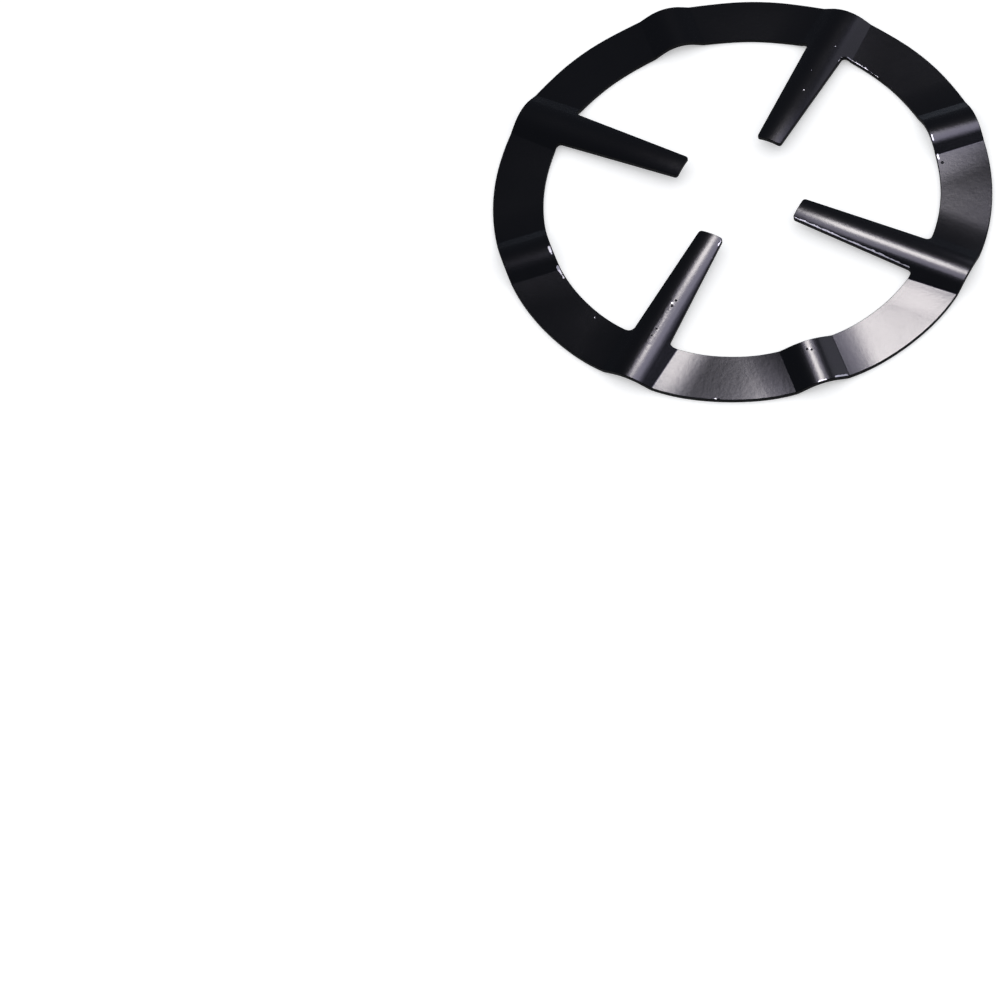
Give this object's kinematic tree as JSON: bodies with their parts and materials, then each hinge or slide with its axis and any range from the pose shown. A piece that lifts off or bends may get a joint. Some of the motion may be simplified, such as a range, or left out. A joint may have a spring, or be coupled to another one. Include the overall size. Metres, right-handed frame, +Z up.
{
  "type": "gas hob reducer ring",
  "caption": "Flat pressed-steel ring with ridged prongs reaching in from its rim, laid on a hob's pan support to carry a pot too small for it over the burner.",
  "frame": {"origin": "centre of the ring, on the plane that its flat rim stands on", "axes": "+Z up, square to the rim, and the prongs point along X and Y"},
  "size_m": [0.14, 0.14, 0.0047],
  "materials": {
    "black_enamel": "semi-gloss black enamel on pressed steel"
  },
  "bodies": {
    "root": {"reducer_ring": "black_enamel"}
  },
  "joints": []
}
